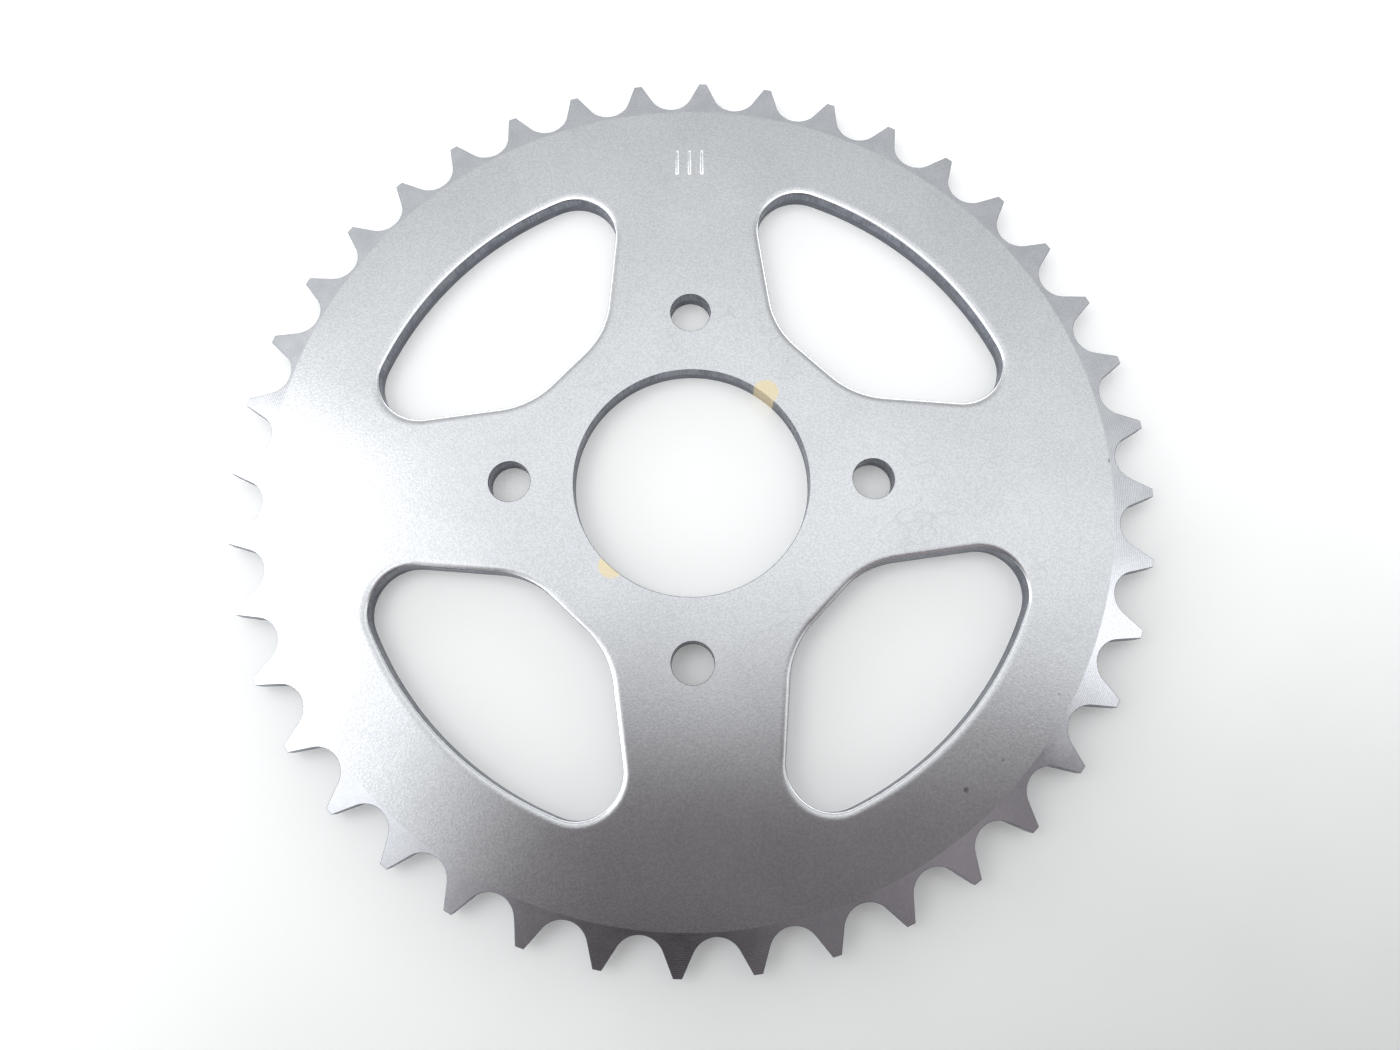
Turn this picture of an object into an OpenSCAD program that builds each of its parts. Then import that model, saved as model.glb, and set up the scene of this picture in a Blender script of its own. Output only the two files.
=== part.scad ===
// Rear drive sprocket for a motorcycle chain: one flat steel plate with forty teeth,
// a centring bore, four bolt holes and four lightening windows with a rolled front edge.
// Millimetres. The flat back face lies on z = 0, the front face looks along +Z,
// the wheel axis is the Z axis and one bolt hole lies on +X.

/* [Chain] */
// Distance between two rollers of the chain
pitch = 15.875; // [14:0.125:19.05]
// Diameter of a chain roller
roller_d = 10.16; // [8.5:0.02:11]
// Extra radius that the tooth gap has around a roller
roller_play = 0.24; // [0.05:0.01:0.4]

/* [Teeth] */
// Number of teeth
teeth = 40; // [36:1:52]
// Height of the tooth tips above the pitch circle
tip_rise = 2.8; // [2.2:0.1:3.4]
// Width of the flat on a tooth tip
tip_w = 1.85; // [1:0.05:2.6]
// Turn of the tooth ring against the bolt holes, in degrees
tooth_turn = -1.95; // [-4.5:0.05:4.5]

/* [Plate] */
// Thickness of the plate
thick = 5.3; // [4:0.1:8]
// Depth of the side relief at a tooth tip
relief_depth = 0.9; // [0.4:0.05:1.3]
// Distance from the root circle in to the start of the relief
relief_in = 0.95; // [0.7:0.05:3]
// How far the front relief is turned off centre, towards -X
relief_runout = 0.45; // [0:0.05:0.6]

/* [Hub] */
// Diameter of the centring bore
bore_d = 53.2; // [40:0.1:60]
// Diameter of the bolt circle
bolt_pcd = 82; // [76:0.5:98]
// Diameter of a bolt hole
bolt_d = 9.4; // [6.5:0.1:11.5]

/* [Windows] */
// Width of the rim between the windows and the root circle
rim_w = 18.3; // [14:0.1:22]
// Width of a spoke at the bolt circle
spoke_w = 38.8; // [32:0.1:46]
// Taper of each side of a spoke towards the rim, in degrees
spoke_taper = 6.3; // [0:0.1:10]
// Distance from the wheel axis to the straight inner side of a window
hub_flat = 40.4; // [36:0.1:46]
// Radius of the corners next to the rim
rim_corner_r = 9.8; // [6:0.1:11.5]
// Radius of the corners next to the hub
hub_corner_r = 20; // [8:0.5:24]
// Width of the rolled front edge of a window
roll_w = 1.6; // [0.6:0.1:2.2]
// Depth of the rolled front edge of a window
roll_h = 1; // [0.4:0.1:1.6]
// Turn of the four windows against the bolt holes, in degrees
window_turn = 1.4; // [-3:0.1:3]
// Shift of the four windows along +X
window_dx = 0.8; // [-1.5:0.1:1.5]
// Shift of the four windows along +Y
window_dy = -0.5; // [-1.5:0.1:1.5]

/* [Stamped mark] */
// Distance of the mark from the wheel axis
mark_y = 81; // [70:0.5:88]
// Height of the strokes of the mark
mark_h = 6.5; // [4:0.1:9]
// Width of one stroke
mark_stroke = 0.6; // [0.4:0.05:0.9]
// Distance between two strokes
mark_step = 3; // [2:0.1:4]
// Depth of the strokes
mark_depth = 0.25; // [0.1:0.05:0.5]

/* [Hidden] */
$fn = 96;

// Number of spokes, and so of bolt holes and of windows.
spokes = 4;

// Each cut starts and ends this far outside the metal.
over = 1;
// Where an arc runs into a straight side the two cross at this small angle, in degrees.
blend = 3;
// Such an arc is drawn this much further than the crossing, in degrees.
slack = 3;

// Pitch circle, root circle and tip circle of the chain drive.
pitch_r = pitch / 2 / sin(180 / teeth);
root_r = pitch_r - roller_d / 2;
tip_r = pitch_r + tip_rise;

// A tooth gap opens along +Y: a seat arc for the roller, then two straight flanks.
seat_r = roller_d / 2 + roller_play;
seat_y = root_r + seat_r;
gap_half = 180 / teeth - asin(tip_w / 2 / tip_r);
mouth_x = tip_r * sin(gap_half);
mouth_y = tip_r * cos(gap_half) - seat_y;
foot_r = seat_r * cos(blend);
foot_a = atan2(mouth_y, mouth_x) - acos(foot_r / norm([mouth_x, mouth_y]));
foot_x = foot_r * cos(foot_a);
foot_y = foot_r * sin(foot_a);
flank = (mouth_x - foot_x) / (mouth_y - foot_y);

// Side relief of the teeth: a shallow cone on each face.
relief_r = root_r - relief_in;
relief_slope = relief_depth / (tip_r - relief_r);

// Spokes, bolt holes and windows repeat at this angle.
step_a = 360 / spokes;
bolt_r = bolt_pcd / 2;

// A window lies about +X. Its upper side runs at side_a, and side_n points into the window.
side_a = step_a / 2 + spoke_taper;
side_n = [sin(side_a), -cos(side_a)];
side_d = spoke_w / 2 * cos(spoke_taper) + bolt_r * sin(spoke_taper);
rim_in = root_r - rim_w;
// Centre of the upper corner next to the rim.
rim_c_r = rim_in - rim_corner_r;
rim_c_a = side_a - asin((side_d + rim_corner_r) / rim_c_r);
rim_c = rim_c_r * [cos(rim_c_a), sin(rim_c_a)];
// Centre of the upper corner next to the hub.
hub_c_x = hub_flat + hub_corner_r;
hub_c = [hub_c_x, (hub_c_x * side_n[0] - side_d - hub_corner_r) / -side_n[1]];

// Directions from the hub corner's centre to its two ends, and the part of its arc that is used.
hub_arc_start = 90 + side_a - blend - slack;
hub_arc_turn = 90 - side_a + 2 * (blend + slack);

// The rolled edge is stretched between two thin slices with this many steps to the circle.
film = 0.01;
roll_fn = 48;
// Each slice lies this far past the end of the roll, and grows at the roll's own slope.
roll_dip = roll_h / 4;
roll_spread = roll_dip * roll_w / roll_h;
// The wedge between the rim corners is drawn out to this multiple of their distance.
wedge_reach = 1.6;

// The mirror image of a point across the X axis.
function flip(p) = [p[0], -p[1]];

// Draws a thing and its mirror image across the X axis.
module both_sides() {
    children();
    mirror([0, 1, 0]) children();
}

// One tooth gap, drawn along +Y.
module gap_2d() {
    translate([0, seat_y]) {
        circle(seat_r);
        polygon([
            [-foot_x, foot_y],
            [foot_x, foot_y],
            [mouth_x + flank * over, mouth_y + over],
            [-mouth_x - flank * over, mouth_y + over]
        ]);
    }
}

// The toothed disc seen from the front.
module toothed_2d() {
    difference() {
        circle(tip_r);
        for (i = [0 : teeth - 1])
            rotate(tooth_turn + (i + 0.5) * 360 / teeth) gap_2d();
    }
}

// Metal turned away from the upper side of the teeth, above z = 0.
module relief_ring() {
    reach = tip_r + over - relief_r + relief_runout;
    rotate_extrude()
        polygon([
            [relief_r - over, relief_slope * over],
            [relief_r + reach, -relief_slope * reach],
            [relief_r + reach, over],
            [relief_r - over, over]
        ]);
}

// Outline of one window about +X, grown outwards by g.
module window_2d(g) {
    rim_foot = rim_c - (rim_corner_r + g) * side_n;
    hub_foot = hub_c - (hub_corner_r + g) * side_n;
    polygon([
        [hub_flat - g, -hub_c[1]],
        [hub_flat - g, hub_c[1]],
        hub_foot,
        rim_foot,
        rim_c,
        flip(rim_c),
        flip(rim_foot),
        flip(hub_foot)
    ]);
    intersection() {
        circle(rim_in + g);
        rim_wedge_2d();
    }
    both_sides() {
        translate(rim_c) circle((rim_corner_r + g) / cos(blend));
        translate(hub_c)
            intersection() {
                circle((hub_corner_r + g) / cos(blend));
                hub_slice_2d();
            }
    }
}

// The slice of a hub corner's circle that reaches from the inner side to the tapered side.
module hub_slice_2d() {
    far = 2 * hub_corner_r;
    a = hub_arc_start;
    b = hub_arc_start + hub_arc_turn;
    polygon([[0, 0], [far * cos(a), far * sin(a)], [far * cos(b), far * sin(b)]]);
}

// The part of a window between the two rim corners, drawn out past the rim arc.
module rim_wedge_2d() {
    polygon([rim_c, rim_c * wedge_reach, flip(rim_c) * wedge_reach, flip(rim_c)]);
}

// One window through the whole plate, with its front edge rolled over.
module window() {
    translate([0, 0, -over]) linear_extrude(thick + 2 * over) window_2d(0);
    hull() {
        translate([0, 0, thick - roll_h - roll_dip])
            linear_extrude(film) window_2d(-roll_spread, $fn = roll_fn);
        translate([0, 0, thick + roll_dip])
            linear_extrude(film) window_2d(roll_w + roll_spread, $fn = roll_fn);
    }
}

// Generic stamped mark: three upright strokes on the +Y spoke, near the rim.
module mark() {
    for (i = [-1 : 1])
        translate([i * mark_step, mark_y, thick])
            cube([mark_stroke, mark_h, 2 * mark_depth], center = true);
}

// The whole plate.
module sprocket() {
    color([0.72, 0.73, 0.75])
        difference() {
            linear_extrude(thick) toothed_2d();
            translate([-relief_runout, 0, thick]) relief_ring();
            mirror([0, 0, 1]) relief_ring();
            translate([0, 0, -over]) cylinder(r = bore_d / 2, h = thick + 2 * over);
            for (i = [0 : spokes - 1]) {
                rotate(i * step_a)
                    translate([bolt_r, 0, -over]) cylinder(r = bolt_d / 2, h = thick + 2 * over);
                translate([window_dx, window_dy, 0])
                    rotate(window_turn + (i + 0.5) * step_a) window();
            }
            mark();
        }
}

sprocket();
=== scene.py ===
import math

import bmesh
import bpy
from mathutils import Matrix, Vector


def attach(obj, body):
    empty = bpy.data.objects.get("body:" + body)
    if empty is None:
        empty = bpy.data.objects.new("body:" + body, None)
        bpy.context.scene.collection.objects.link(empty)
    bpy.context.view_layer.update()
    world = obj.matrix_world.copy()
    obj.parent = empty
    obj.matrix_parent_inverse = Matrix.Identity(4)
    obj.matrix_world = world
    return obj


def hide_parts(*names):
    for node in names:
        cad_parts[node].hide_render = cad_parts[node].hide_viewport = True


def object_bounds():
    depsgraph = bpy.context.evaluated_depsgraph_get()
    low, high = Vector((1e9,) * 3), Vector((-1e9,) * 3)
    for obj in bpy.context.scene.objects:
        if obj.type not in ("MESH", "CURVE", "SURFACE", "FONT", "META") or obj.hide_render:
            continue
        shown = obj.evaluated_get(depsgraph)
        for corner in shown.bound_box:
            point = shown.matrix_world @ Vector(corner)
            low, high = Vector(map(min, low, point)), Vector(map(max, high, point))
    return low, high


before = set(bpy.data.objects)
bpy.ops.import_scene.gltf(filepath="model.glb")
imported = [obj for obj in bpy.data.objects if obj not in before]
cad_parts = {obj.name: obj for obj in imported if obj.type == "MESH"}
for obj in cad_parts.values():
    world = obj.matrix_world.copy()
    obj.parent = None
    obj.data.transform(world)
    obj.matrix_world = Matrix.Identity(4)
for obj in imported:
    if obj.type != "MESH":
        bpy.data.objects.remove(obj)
cad_low, cad_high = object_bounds()


# ---------------------------------------------------------------------------------------------
# The plate: one piece of carbon steel sheet. It is blanked and pierced in a press, the windows
# from the front, so that their front edge is rolled over. A lathe then relieves both sides of
# the teeth, and the whole plate is bright zinc plated.
# ---------------------------------------------------------------------------------------------

MM = 0.001
TURN = 2 * math.pi
QUARTER = TURN / 4
AXIS = Vector((0, 0))

# Chain and teeth.
TEETH = 40
TOOTH_STEP = TURN / TEETH
PITCH = 15.875 * MM
ROLLER_R = 5.08 * MM
SEAT_R = ROLLER_R + 0.24 * MM
PITCH_R = PITCH / 2 / math.sin(TOOTH_STEP / 2)
ROOT_R = PITCH_R - ROLLER_R
TIP_R = PITCH_R + 2.8 * MM
TIP_W = 1.85 * MM
TOOTH_TURN = math.radians(-1.95)

# Side relief of the teeth. The front one was turned slightly off centre.
RELIEF_R = ROOT_R - 0.95 * MM
RELIEF_SLOPE = 0.9 * MM / (TIP_R - RELIEF_R)
FRONT_RELIEF = Vector((-0.45 * MM, 0))
BACK_RELIEF = AXIS

# Plate, bore and bolt holes. Their sharp edges are broken all round.
BACK = cad_low.z
FRONT = cad_high.z
BORE_R = 26.6 * MM
BORE_STEPS = 256
BOLT_CIRCLE_R = 41 * MM
BOLT_R = 4.7 * MM
BOLT_STEPS = 72
EDGE_BREAK = 0.13 * MM
EDGE_STEPS = 3

# Windows.
SPOKES = 4
SPOKE_STEP = TURN / SPOKES
RIM_IN = ROOT_R - 18.3 * MM
SPOKE_HALF = 19.4 * MM
SPOKE_TAPER = math.radians(6.3)
HUB_FLAT = 40.4 * MM
RIM_CORNER_R = 9.8 * MM
HUB_CORNER_R = 20 * MM
WINDOW_TURN = math.radians(1.4)
WINDOW_SHIFT = Vector((0.8, -0.5)) * MM

# Window edge. The roll is still plain at its start, then rubbed, and at its steep end it has the dark
# sheared finish, which is partly painted shade.
ROLL_W = 1.7 * MM
ROLL_H = 0.6 * MM
ROLL_STEPS = 12
ROLL_RUBBED = 5
ROLL_SHEARED = 9
FLAT_RING = 0.3 * MM
FRACTURE_SHARE = 0.45
FRACTURE_TAPER = 0.1 * MM

# Stamped mark: three upright strokes.
MARK_Y = 81 * MM
MARK_H = 6.5 * MM
MARK_STEP = 3 * MM
STROKE_HALF = 0.36 * MM
STROKE_DEPTH = 0.22 * MM
STROKE_LIP = 0.06 * MM

# Material slots of the plate.
SKIN, TURNED, ROLLED, SHEARED_AND_SHADED = range(4)


def arc(centre, radius, start, end, steps):
    """Points along an arc, without its last one."""
    angles = [start + (end - start) * i / steps for i in range(steps)]
    return [centre + radius * Vector((math.cos(a), math.sin(a))) for a in angles]


def straight(start, end, steps):
    """Points along a straight line, without its last one."""
    return [start.lerp(end, i / steps) for i in range(steps)]


def grown(outline, by):
    """An anticlockwise outline moved outwards by a distance."""
    moved = []
    for before, point, after in zip(outline[-1:] + outline[:-1], outline, outline[1:] + outline[:1]):
        along = (after - before).normalized()
        moved.append(point + by * Vector((along.y, -along.x)))
    return moved


def turned(outline, angle, shift=AXIS):
    """An outline turned about the wheel axis, then shifted."""
    turn = Matrix.Rotation(angle, 2)
    return [turn @ point + shift for point in outline]


def tooth_outline():
    """The toothed outline, anticlockwise: in each gap a seat arc for the roller and two flanks."""
    seat = Vector((0, ROOT_R + SEAT_R))
    half = TOOTH_STEP / 2 - math.asin(TIP_W / 2 / TIP_R)
    mouth = TIP_R * Vector((math.sin(half), math.cos(half)))
    to_mouth = mouth - seat
    foot_a = math.atan2(to_mouth.y, to_mouth.x) - math.acos(SEAT_R / to_mouth.length)
    foot = seat + SEAT_R * Vector((math.cos(foot_a), math.sin(foot_a)))
    side = arc(seat, SEAT_R, -QUARTER, foot_a, 16)
    side += straight(foot, mouth, 6)
    side += arc(AXIS, TIP_R, QUARTER - half, QUARTER - TOOTH_STEP / 2, 3)
    tooth_middle = TIP_R * Vector((math.sin(TOOTH_STEP / 2), math.cos(TOOTH_STEP / 2)))
    gap = side[:0:-1] + [Vector((-p.x, p.y)) for p in side] + [Vector((-tooth_middle.x, tooth_middle.y))]
    outline = []
    for i in range(TEETH):
        outline += turned(gap, TOOTH_TURN + (i + 0.5) * TOOTH_STEP)
    return outline


def window_outline():
    """One window about +X, anticlockwise: rim arc, two rim corners, two hub corners, flat side."""
    side_a = SPOKE_STEP / 2 + SPOKE_TAPER
    side_d = SPOKE_HALF * math.cos(SPOKE_TAPER) + BOLT_CIRCLE_R * math.sin(SPOKE_TAPER)
    rim_c_r = RIM_IN - RIM_CORNER_R
    rim_c_a = side_a - math.asin((side_d + RIM_CORNER_R) / rim_c_r)
    rim_c = rim_c_r * Vector((math.cos(rim_c_a), math.sin(rim_c_a)))
    hub_x = HUB_FLAT + HUB_CORNER_R
    hub_c = Vector((hub_x, (hub_x * math.sin(side_a) - side_d - HUB_CORNER_R) / math.cos(side_a)))
    up_side = side_a + QUARTER
    out = Vector((math.cos(up_side), math.sin(up_side)))
    half = arc(AXIS, RIM_IN, 0, rim_c_a, 28)
    half += arc(rim_c, RIM_CORNER_R, rim_c_a, up_side, 26)
    half += straight(rim_c + RIM_CORNER_R * out, hub_c + HUB_CORNER_R * out, 8)
    half += arc(hub_c, HUB_CORNER_R, up_side, math.pi, 14)
    half += straight(Vector((HUB_FLAT, hub_c.y)), Vector((HUB_FLAT, 0)), 4)
    return half + [Vector((HUB_FLAT, 0))] + [Vector((p.x, -p.y)) for p in half[:0:-1]]


def stroke_outline(x):
    """One upright stroke of the mark, anticlockwise, with round ends."""
    reach = Vector((0, MARK_H / 2 - STROKE_HALF))
    middle = Vector((x, MARK_Y))
    half = arc(middle + reach, STROKE_HALF, 0, math.pi, 8) + [middle + reach - Vector((STROKE_HALF, 0))]
    return half + [2 * middle - point for point in half]


def level(z):
    """A surface of one height, for ring()."""
    return lambda point: z


def front_cone(point):
    """Height of the front face where its side relief is turned, for ring()."""
    return FRONT - RELIEF_SLOPE * max((point - FRONT_RELIEF).length - RELIEF_R, 0)


def back_cone(point):
    """Height of the back face where its side relief is turned, for ring()."""
    return BACK + RELIEF_SLOPE * max((point - BACK_RELIEF).length - RELIEF_R, 0)


def ring(bm, outline, height):
    """A closed ring of edges: an outline laid on a surface."""
    verts = [bm.verts.new((point.x, point.y, height(point))) for point in outline]
    return [bm.edges.new(pair) for pair in zip(verts, verts[1:] + verts[:1])]


def skin(bm, rings, finish, smooth=True):
    """Joins each ring to the next one with quads. Bridging would twist rings this close together."""
    for first, second in zip(rings, rings[1:]):
        for near_edge, far_edge in zip(first, second):
            (a, b), (c, d) = near_edge.verts, far_edge.verts
            face = bm.faces.new((a, b, d, c))
            face.smooth = smooth
            face.material_index = finish


def cap(bm, rings, up, finish):
    """Fills a flat face between its outer ring and the rings in it."""
    edges = [edge for one in rings for edge in one]
    filled = bmesh.ops.triangle_fill(bm, use_beauty=True, edges=edges, normal=(0, 0, up))
    for face in filled["geom"]:
        if isinstance(face, bmesh.types.BMFace):
            face.material_index = finish


def edge_rings(bm, outline, height, below, around):
    """Rings of a broken edge, from the face round to the wall. below is 1 under a front face and
    -1 over a back one. around is 1 where the metal lies round the outline, and -1 inside it."""
    rings = []
    for i in range(EDGE_STEPS + 1):
        angle = QUARTER * i / EDGE_STEPS
        drop = below * EDGE_BREAK * (1 - math.cos(angle))
        moved = grown(outline, around * EDGE_BREAK * (1 - math.sin(angle)))
        rings.append(ring(bm, moved, lambda point: height(point) - drop))
    return rings


def hole(bm, outline, wall_top):
    """The wall of a hole below a ring, and its back edge. Returns the ring in the back face."""
    back_rings = edge_rings(bm, outline, level(BACK), -1, 1)
    # The wall has the dark sheared finish, which is partly painted shade.
    skin(bm, [wall_top, back_rings[-1]], SHEARED_AND_SHADED)
    skin(bm, back_rings, SKIN)
    return back_rings[0]


plate_bm = bmesh.new()
teeth = tooth_outline()
fronts = []
backs = []

# Teeth: side relief, broken edges and the sheared wall between them.
edge_front = edge_rings(plate_bm, teeth, front_cone, 1, -1)
edge_back = edge_rings(plate_bm, teeth, back_cone, -1, -1)
for centre, edges, face_z, faces in ((FRONT_RELIEF, edge_front, FRONT, fronts),
                                     (BACK_RELIEF, edge_back, BACK, backs)):
    relief_start = [centre + RELIEF_R * (point - centre).normalized() for point in teeth]
    start_ring = ring(plate_bm, relief_start, level(face_z))
    skin(plate_bm, [start_ring, edges[0]], TURNED, smooth=False)
    # The broken edges get the dark sheared finish: a thin line of painted shade along them.
    skin(plate_bm, edges, SHEARED_AND_SHADED)
    faces.append(start_ring)
skin(plate_bm, [edge_front[-1], edge_back[-1]], SHEARED_AND_SHADED)

# Bore and bolt holes.
holes = [(AXIS, BORE_R, BORE_STEPS)]
for i in range(SPOKES):
    bolt_centre = turned([Vector((BOLT_CIRCLE_R, 0))], i * SPOKE_STEP)[0]
    holes.append((bolt_centre, BOLT_R, BOLT_STEPS))
for centre, radius, steps in holes:
    outline = arc(centre, radius, 0, TURN, steps)
    front_rings = edge_rings(plate_bm, outline, level(FRONT), 1, 1)
    # The broken edge gets the dark sheared finish: a thin line of painted shade round the hole.
    skin(plate_bm, front_rings, SHEARED_AND_SHADED)
    fronts.append(front_rings[0])
    backs.append(hole(plate_bm, outline, front_rings[-1]))

# Windows: a flat ring, the rolled edge, the burnished wall and the wider fracture below it.
for i in range(SPOKES):
    outline = turned(window_outline(), WINDOW_TURN + (i + 0.5) * SPOKE_STEP, WINDOW_SHIFT)
    flat_ring = ring(plate_bm, grown(outline, ROLL_W + FLAT_RING), level(FRONT))
    roll = []
    for step in range(ROLL_STEPS + 1):
        angle = QUARTER * step / ROLL_STEPS
        out = ROLL_W * (1 - math.sin(angle))
        roll.append(ring(plate_bm, grown(outline, out), level(FRONT - ROLL_H * (1 - math.cos(angle)))))
    burnished = ring(plate_bm, outline, level(BACK + FRACTURE_SHARE * (FRONT - BACK)))
    skin(plate_bm, [flat_ring] + roll[:ROLL_RUBBED + 1], SKIN)
    skin(plate_bm, roll[ROLL_RUBBED:ROLL_SHEARED + 1], ROLLED)
    # Steep end of the roll and the wall: dark sheared finish, partly painted shade.
    skin(plate_bm, roll[ROLL_SHEARED:] + [burnished], SHEARED_AND_SHADED)
    fronts.append(flat_ring)
    backs.append(hole(plate_bm, grown(outline, FRACTURE_TAPER), burnished))

# Strokes of the mark: blunt grooves with a rubbed surface.
for i in (-1, 0, 1):
    outline = stroke_outline(i * MARK_STEP)
    groove = [ring(plate_bm, grown(outline, STROKE_LIP), level(FRONT)),
              ring(plate_bm, outline, level(FRONT - STROKE_LIP / 2)),
              ring(plate_bm, grown(outline, -0.5 * STROKE_HALF), level(FRONT - 0.8 * STROKE_DEPTH)),
              ring(plate_bm, grown(outline, -0.8 * STROKE_HALF), level(FRONT - STROKE_DEPTH))]
    skin(plate_bm, groove, ROLLED)
    cap(plate_bm, groove[-1:], 1, ROLLED)
    fronts.append(groove[0])

cap(plate_bm, fronts, 1, SKIN)
cap(plate_bm, backs, -1, SKIN)
bmesh.ops.recalc_face_normals(plate_bm, faces=plate_bm.faces)
plate_mesh = bpy.data.meshes.new("sprocket_plate")
plate_bm.to_mesh(plate_mesh)
plate_bm.free()


class Signal:
    """What a shader node gives out. Arithmetic on it adds Math nodes."""

    def __init__(self, finish, socket):
        self.finish = finish
        self.socket = socket

    def math(self, operation, *sides):
        return self.finish.add("ShaderNodeMath", {"operation": operation}, dict(enumerate(sides)))

    def __add__(self, other):
        return self.math("ADD", self, other)

    def __radd__(self, other):
        return self.math("ADD", other, self)

    def __sub__(self, other):
        return self.math("SUBTRACT", self, other)

    def __rsub__(self, other):
        return self.math("SUBTRACT", other, self)

    def __mul__(self, other):
        return self.math("MULTIPLY", self, other)

    def __rmul__(self, other):
        return self.math("MULTIPLY", other, self)

    def __truediv__(self, other):
        return self.math("DIVIDE", self, other)

    def __pow__(self, other):
        return self.math("POWER", self, other)

    def __abs__(self):
        return self.math("ABSOLUTE", self)


class Finish:
    """The shader nodes of one material or of the sky."""

    def __init__(self, owner):
        owner.use_nodes = True
        self.owner = owner
        self.nodes = owner.node_tree.nodes
        self.links = owner.node_tree.links
        self.nodes.clear()

    def add(self, kind, settings=None, inputs=None, output=0):
        """Adds a node: its settings first, then the values or links of its sockets."""
        node = self.nodes.new(kind)
        for name, value in (settings or {}).items():
            setattr(node, name, value)
        for name, value in (inputs or {}).items():
            if isinstance(value, Signal):
                self.links.new(value.socket, node.inputs[name])
            else:
                node.inputs[name].default_value = value
        return Signal(self, node.outputs[output]) if node.outputs else None

    def vector(self, operation, *sides, output="Vector"):
        return self.add("ShaderNodeVectorMath", {"operation": operation}, dict(enumerate(sides)), output)

    def axes(self, vector):
        """The x, y and z of a vector."""
        split = self.add("ShaderNodeSeparateXYZ", None, {0: vector})
        return [Signal(self, socket) for socket in split.socket.node.outputs]

    def ramp(self, value, low, high):
        """0 at low, 1 at high, smooth between them and level outside. low may be the higher one."""
        return self.add("ShaderNodeMapRange", {"interpolation_type": "SMOOTHSTEP"},
                        {"Value": value, "From Min": low, "From Max": high})

    def mix(self, share, first, second):
        """A colour between two."""
        return self.add("ShaderNodeMix", {"data_type": "RGBA"}, {0: share, 6: first, 7: second}, 2)

    def noise(self, place, size, detail=2.0, stretch=None):
        """Noise from 0 to 1, with features of about that size in the units of place."""
        if stretch:
            place = self.vector("MULTIPLY", place, stretch)
        return self.add("ShaderNodeTexNoise", None,
                        {"Vector": place, "Scale": 1 / size, "Detail": detail})


def surface(name):
    """A new finish, and the place on its piece in millimetres."""
    finish = Finish(bpy.data.materials.new(name))
    place = finish.add("ShaderNodeTexCoord", output="Object")
    return finish, finish.add("ShaderNodeVectorMath", {"operation": "SCALE"}, {0: place, "Scale": 1 / MM})


def close_metal(finish, colour, roughness, height, depth):
    """Ends a metal finish. height is a relief from 0 to 1 that is depth metres deep."""
    normal = finish.add("ShaderNodeBump", None, {"Height": height, "Distance": depth, "Strength": 1.0})
    shader = finish.add("ShaderNodeBsdfPrincipled", None, {
        "Base Color": colour, "Metallic": 1.0, "Roughness": roughness, "Normal": normal})
    finish.add("ShaderNodeOutputMaterial", None, {"Surface": shader})
    return finish.owner


def near(finish, place, middle, radius, softness):
    """1 within a radius of an upright line through the plate, and 0 away from it."""
    flat = finish.vector("MULTIPLY", place, (1, 1, 0))
    gap = finish.vector("DISTANCE", flat, (*middle, 0), output="Value")
    return finish.ramp(gap, radius + softness, radius - softness)


def stain_lines(finish, place):
    """Thin wandering edges of dried water marks, in some patches only."""
    drift = finish.noise(place, 24.0, 3.0)
    lines = finish.ramp(abs(drift - 0.5), 0.007, 0.0)
    patches = finish.ramp(finish.noise(place, 34.0, 1.0, (1, 1, 2)), 0.5, 0.62)
    return lines * patches


# Plated skin of the sheet: satin zinc over the fine grain of the rolled steel. It has two round
# yellow marks at the bore, some water marks, a few dark specks, and one dark spot of painted shade
# where a small notch lies at the start of the relief. Sizes are in millimetres.
ZINC_LIGHT = (0.71, 0.72, 0.735, 1)
ZINC_DULL = (0.585, 0.595, 0.61, 1)
STAIN = (0.50, 0.50, 0.51, 1)
CHROMATE = (0.82, 0.68, 0.39, 1)
SPECK = (0.16, 0.15, 0.16, 1)
GRAIN = 0.40
GRAIN_DEPTH = 0.015 * MM
SPECKLE = 0.42
CLOUD = 26.0
BLOTCH = 7.0
CHROMATE_MARKS = ((17.2, 21.0), (-17.8, -19.4))
CHROMATE_R = 2.9
CHROMATE_EDGE = 0.35
# The last spot is painted shade that stands in for a small notch at the start of the relief.
SPECKS_AND_NOTCH_SHADE = (((56.75, -67.8), 0.5), ((65.0, -61.8), 0.2), ((78.1, -48.2), 0.15), ((94.7, 3.7), 0.5))
SPECK_EDGE = 0.3

plated, at = surface("Plated skin")
grain = plated.noise(at, GRAIN)
speckle = plated.ramp(plated.noise(at, SPECKLE), 0.36, 0.64)
cloud = plated.noise(at, CLOUD, 3.0)
blotch = plated.noise(at, BLOTCH)
tone = plated.ramp(cloud, 0.35, 0.65) * 0.3 + speckle * 0.7
colour = plated.mix(tone, ZINC_DULL, ZINC_LIGHT)
stains = stain_lines(plated, at)
colour = plated.mix(stains * 0.28, colour, STAIN)
for middle in CHROMATE_MARKS:
    mark = near(plated, at, middle, CHROMATE_R, CHROMATE_EDGE)
    colour = plated.mix(mark * 0.72, colour, CHROMATE)
# Dark specks, and one spot of painted shade for the notch.
for middle, radius in SPECKS_AND_NOTCH_SHADE:
    colour = plated.mix(near(plated, at, middle, radius, SPECK_EDGE) * 0.7, colour, SPECK)
roughness = 0.20 + (cloud - 0.5) * 0.04 + (grain - 0.5) * 0.12 + (blotch - 0.5) * 0.03 + stains * 0.03
plate_mesh.materials.append(close_metal(plated, colour, roughness, grain, GRAIN_DEPTH))

# Turned relief of the teeth: fine concentric tool marks under the zinc.
RELIEF_LIGHT = (0.75, 0.76, 0.79, 1)
RELIEF_DULL = (0.64, 0.65, 0.68, 1)
FEED = 0.42
TOOL_DEPTH = 0.012 * MM
WEAR = 5.0

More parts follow.
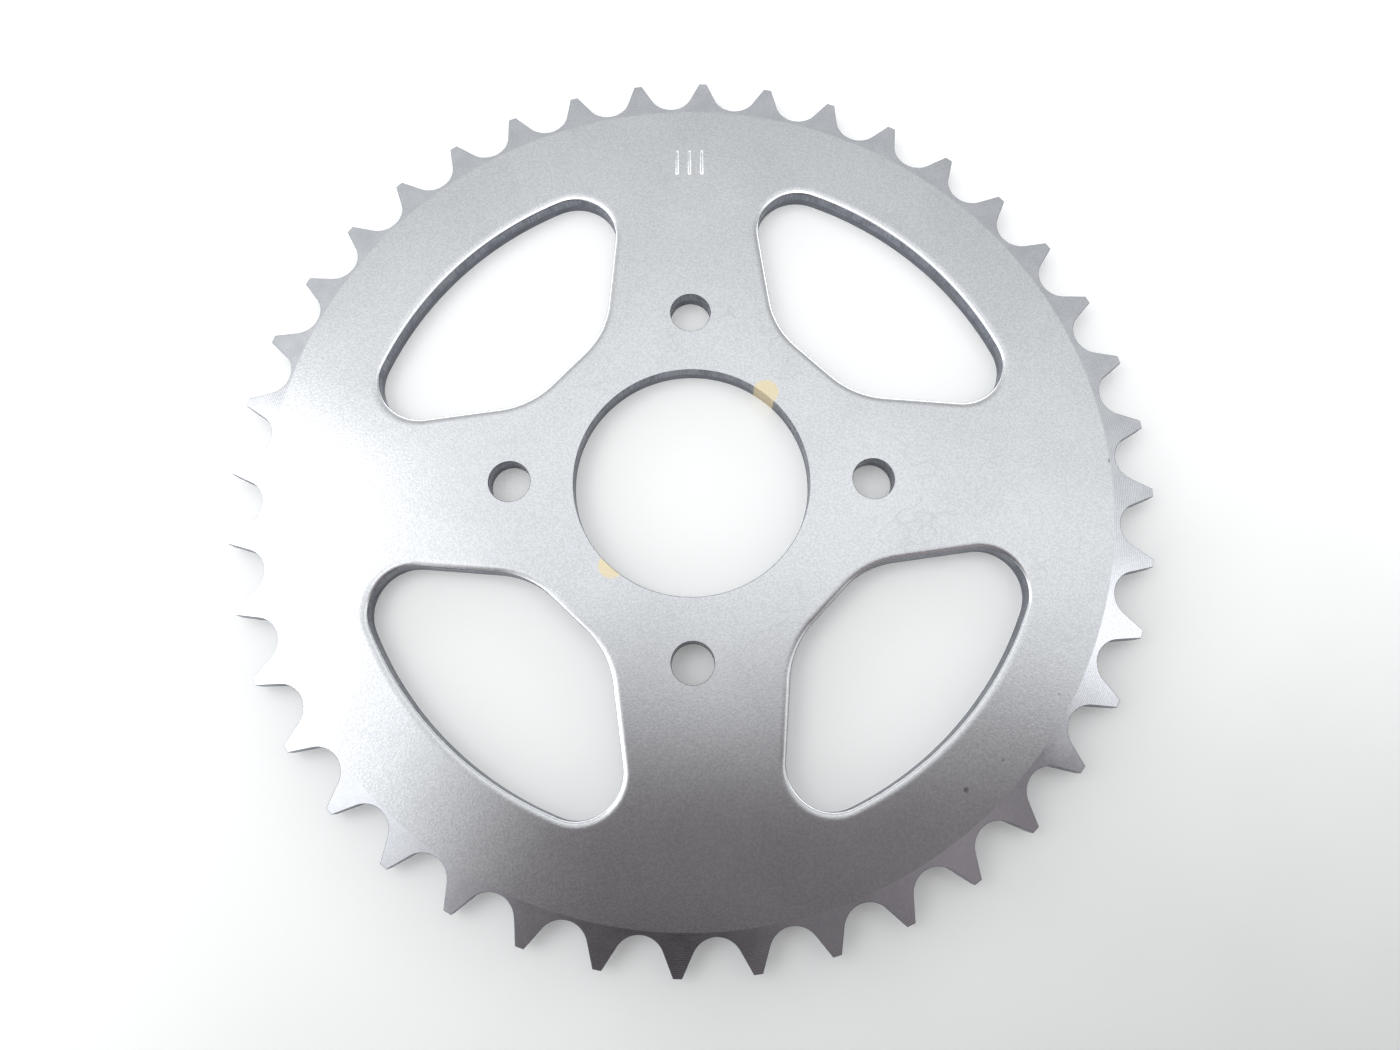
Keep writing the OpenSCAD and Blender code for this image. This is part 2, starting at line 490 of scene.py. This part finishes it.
relieved, at = surface("Turned relief")
flat = relieved.vector("MULTIPLY", at, (1, 1, 0))
from_axis = relieved.vector("DISTANCE", flat, (FRONT_RELIEF.x / MM, 0, 0), output="Value")
grooves = relieved.add("ShaderNodeMath", {"operation": "SINE"}, {0: from_axis * (TURN / FEED)})
wear = relieved.noise(at, WEAR, 3.0)
fine = relieved.noise(at, 0.45, 3.0)
tool_marks = (grooves * 0.5 + 0.5) * (0.6 + 0.4 * wear) + fine * 0.25
tone = relieved.ramp(wear * 0.35 + fine * 0.4 + grooves * 0.06 + 0.125, 0.35, 0.65)
colour = relieved.mix(tone, RELIEF_DULL, RELIEF_LIGHT)
roughness = 0.16 + (wear - 0.5) * 0.08 + (fine - 0.5) * 0.06
plate_mesh.materials.append(close_metal(relieved, colour, roughness, tool_marks, TOOL_DEPTH))

# Rolled edge: the steeper part of the roll, rubbed smooth and bright by the punch.
ROLLED_LIGHT = (0.88, 0.885, 0.895, 1)
ROLLED_DULL = (0.78, 0.785, 0.795, 1)
RUB_DEPTH = 0.006 * MM

rubbed, at = surface("Rolled edge")
fine = rubbed.noise(at, 0.5)
colour = rubbed.mix(rubbed.ramp(fine, 0.35, 0.65), ROLLED_DULL, ROLLED_LIGHT)
roughness = 0.19 + (fine - 0.5) * 0.06
plate_mesh.materials.append(close_metal(rubbed, colour, roughness, fine, RUB_DEPTH))

# The sheared walls have a burnished band with upright scores, and a coarser fracture near the back.
# Their dark colour is partly the dull sheared steel and partly painted shade. The same finish on
# the broken edges and on the steep end of the roll paints thin dark lines of shade there.
SHADED_WALL_PALE = (0.27, 0.28, 0.315, 1)
SHADED_WALL_DARK = (0.14, 0.15, 0.175, 1)
FRACTURE_TOP = 2.6
FRACTURE_FULL = 2.1
SCORE_DEPTH = 0.03 * MM

sheared, at = surface("Sheared wall and painted shade")
height = sheared.axes(at)[2]
waver = (sheared.noise(at, 3.0) - 0.5) * 1.2
fracture = sheared.ramp(height + waver, FRACTURE_TOP, FRACTURE_FULL)
scores = sheared.noise(at, 0.35, 2.0, (1, 1, 0.08))
torn = sheared.noise(at, 0.3, 3.0)
texture = scores + (torn - scores) * fracture
tone = sheared.ramp(texture * 0.6 + sheared.noise(at, 4.0) * 0.4, 0.35, 0.65)
colour = sheared.mix(tone * (1 - 0.5 * fracture), SHADED_WALL_DARK, SHADED_WALL_PALE)
mark = near(sheared, at, CHROMATE_MARKS[0], CHROMATE_R, CHROMATE_EDGE)
colour = sheared.mix(mark * 0.6, colour, CHROMATE)
roughness = 0.36 + 0.12 * fracture + (texture - 0.5) * 0.2
plate_mesh.materials.append(close_metal(sheared, colour, roughness, texture, SCORE_DEPTH))


def placed(name, data):
    """A new object in the scene."""
    thing = bpy.data.objects.new(name, data)
    bpy.context.scene.collection.objects.link(thing)
    return thing


plate = placed("sprocket_plate", plate_mesh)
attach(plate, "root")
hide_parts("sprocket")


# ---------------------------------------------------------------------------------------------
# The floor: a plain pale table top that the plate lies flat on. It is matt white board, uneven
# in tone, with painted shade that makes it a little darker towards the front right. A faint glow
# makes up for the light that the dark card keeps off it.
# ---------------------------------------------------------------------------------------------

FLOOR_SIZE = 3.0
FLOOR_GAP = 0.03 * MM
BOARD_LIGHT = (0.93, 0.93, 0.925, 1)
BOARD_PAINTED_SHADE = (0.68, 0.68, 0.675, 1)
BOARD_GLOW = (0.16, 0.165, 0.16, 1)
BOARD_DRIFT = 90.0


def level_sheet(name, size, z):
    """The mesh of a square sheet that lies level at a height."""
    bm = bmesh.new()
    bmesh.ops.create_grid(bm, x_segments=1, y_segments=1, size=size / 2)
    bmesh.ops.translate(bm, vec=(0, 0, z), verts=bm.verts)
    mesh = bpy.data.meshes.new(name)
    bm.to_mesh(mesh)
    bm.free()
    return mesh


board, at = surface("White board")
board_x, board_y, _ = board.axes(at)
drift = BOARD_DRIFT * (board.noise(at, 70.0) - 0.5)
# Painted shade: the board is darker towards the front right.
tone = board.ramp(0.4 * board_x - 0.9 * board_y + drift, 200.0, 40.0)
shader = board.add("ShaderNodeBsdfPrincipled", None, {
    "Base Color": board.mix(tone, BOARD_PAINTED_SHADE, BOARD_LIGHT), "Roughness": 0.7,
    "Emission Color": BOARD_GLOW, "Emission Strength": 1.0})
board.add("ShaderNodeOutputMaterial", None, {"Surface": shader})

floor_mesh = level_sheet("floor", FLOOR_SIZE, BACK - FLOOR_GAP)
floor_mesh.materials.append(board.owner)
floor = placed("floor", floor_mesh)


# ---------------------------------------------------------------------------------------------
# The light: a white studio tent, brightest at its left side and straight overhead, with a small
# bright panel on the right and one soft lamp on the left. Low down it is bright at the back and
# the left, and dark at the front and the right.
# ---------------------------------------------------------------------------------------------

CAMERA_AT = Vector((1.04, -62.14, 215.18)) * MM
SKY_WHITE = (0.965, 0.985, 1.0, 1)
LOW_SKY = 3.0
# Middle and half size of each bright part of the tent, as the plate mirrors it, in millimetres.
LEFT_PANEL = ((-118.0, -43.0), (78.0, 84.0))
RIGHT_PANEL = ((146.0, -46.0), (26.0, 26.0))
OVERHEAD = ((8.0, -100.0), (85.0, 62.0))
SOFTBOX_AT = Vector((-0.43, 0.08, 0.50))
SOFTBOX_AIM = Vector((-0.05, 0, 0))
SOFTBOX_SIZE = 0.30
SOFTBOX_POWER = 0.35

sky = Finish(bpy.data.worlds.new("studio_tent"))
east, north, up = sky.axes(sky.add("ShaderNodeTexCoord", output="Generated"))
steep = up.math("MAXIMUM", up, 0.02)
# Where on the plate, in millimetres, a mirror would show this part of the tent to the camera.
seen_x = east / steep * (CAMERA_AT.z / MM) + CAMERA_AT.x / MM
seen_y = north / steep * (CAMERA_AT.z / MM) + CAMERA_AT.y / MM


def oval(finish, x, y, middle, half, inner, outer):
    """1 inside an oval, 0 outside it, smooth from the inner to the outer share of its size."""
    across = (x - middle[0]) / half[0]
    along = (y - middle[1]) / half[1]
    return finish.ramp((across * across + along * along) ** 0.5, outer, inner)


roof = 1.18 - 0.45 * sky.ramp(seen_y + 0.36 * abs(seen_x) + 0.12 * seen_x, 10.0, 136.0)
roof = roof - 0.11 * sky.ramp(seen_y + 0.3 * seen_x, 95.0, 150.0) - 0.09 * sky.ramp(seen_x, 112.0, 145.0)
left_panel = oval(sky, seen_x, seen_y, *LEFT_PANEL, 0.2, 1.12)
right_panel = oval(sky, seen_x, seen_y, *RIGHT_PANEL, 0.2, 1.3)
overhead = oval(sky, seen_x, seen_y, *OVERHEAD, 0.5, 1.0)
light = roof + 0.58 * left_panel + 1.7 * right_panel + 1.6 * overhead
low = sky.ramp(up, 0.40, 0.28)
dark_side = sky.ramp(0.75 * east - north, 0.15, 0.6)
low_light = LOW_SKY * (1 - 0.85 * dark_side)
light = light + (low_light - light) * low
lit = sky.add("ShaderNodeBackground", None, {"Color": SKY_WHITE, "Strength": light})
sky.add("ShaderNodeOutputWorld", None, {"Surface": lit})
bpy.context.scene.world = sky.owner
bpy.context.scene.view_settings.view_transform = "Standard"

lamp = bpy.data.lights.new("softbox", "AREA")
lamp.size = SOFTBOX_SIZE
lamp.energy = SOFTBOX_POWER
facing = (SOFTBOX_AT - SOFTBOX_AIM).to_track_quat("Z", "Y")
placed("softbox", lamp).matrix_world = Matrix.Translation(SOFTBOX_AT) @ facing.to_matrix().to_4x4()


# ---------------------------------------------------------------------------------------------
# The dark card: a black flag beside the lens that stands for the camera and the hands round it.
# The front of the plate mirrors it as a dark patch, and it keeps some light off the floor. The
# camera itself does not see it.
# ---------------------------------------------------------------------------------------------

CARD_Z = CAMERA_AT.z + 2 * MM
CARD_SIZE = 0.9
CARD_TINT = (1.0, 0.915, 0.965, 1)
# Middle and half size of its darkest and of its lightest part, mirrored in the same way.
CARD_CORE = ((-8.0, -122.0), (46.0, 40.0))
CARD_FLANK = ((72.0, -98.0), (36.0, 30.0))

cloth, at = surface("Dark cloth")
card_x, card_y, _ = cloth.axes(at)
# Where on the plate this part of the card is mirrored.
mirror_x = (card_x + CAMERA_AT.x / MM) * 0.5
mirror_y = (card_y + CAMERA_AT.y / MM) * 0.5
cover = cloth.ramp(mirror_y, -15.0, -73.0)
cover = cover * cloth.ramp(0.43 * mirror_y - 0.903 * mirror_x, 48.0, -8.0)
cover = cover * cloth.ramp(0.73 * mirror_x + 0.684 * mirror_y, 58.0, 10.0)
core = oval(cloth, mirror_x, mirror_y, *CARD_CORE, 0.2, 1.0)
flank = oval(cloth, mirror_x, mirror_y, *CARD_FLANK, 0.2, 1.0)
glow = cloth.add("ShaderNodeEmission", None, {
    "Color": CARD_TINT, "Strength": 0.21 - 0.15 * core + 0.13 * flank})
clear = cloth.add("ShaderNodeBsdfTransparent")
flag = cloth.add("ShaderNodeMixShader", None, {0: cover, 1: clear, 2: glow})
cloth.add("ShaderNodeOutputMaterial", None, {"Surface": flag})

card_mesh = level_sheet("dark_card", CARD_SIZE, CARD_Z)
card_mesh.materials.append(cloth.owner)
card = placed("dark_card", card_mesh)
card.visible_camera = False


# ---------------------------------------------------------------------------------------------
# The camera: a wide lens close above the plate, a little towards the front.
# ---------------------------------------------------------------------------------------------

CAMERA_RIGHT = Vector((0.99996, -0.00877, 0.00145))
CAMERA_BACK = Vector((-0.00351, -0.23915, 0.97098))

camera = placed("Camera", bpy.data.cameras.new("Camera"))
camera.data.lens = 25.0
camera.data.sensor_width = 36.0
camera.data.clip_start = 0.01
camera_up = CAMERA_BACK.cross(CAMERA_RIGHT)
camera_axes = Matrix((CAMERA_RIGHT, camera_up, CAMERA_BACK)).transposed()
camera.matrix_world = Matrix.Translation(CAMERA_AT) @ camera_axes.to_4x4()
bpy.context.scene.camera = camera
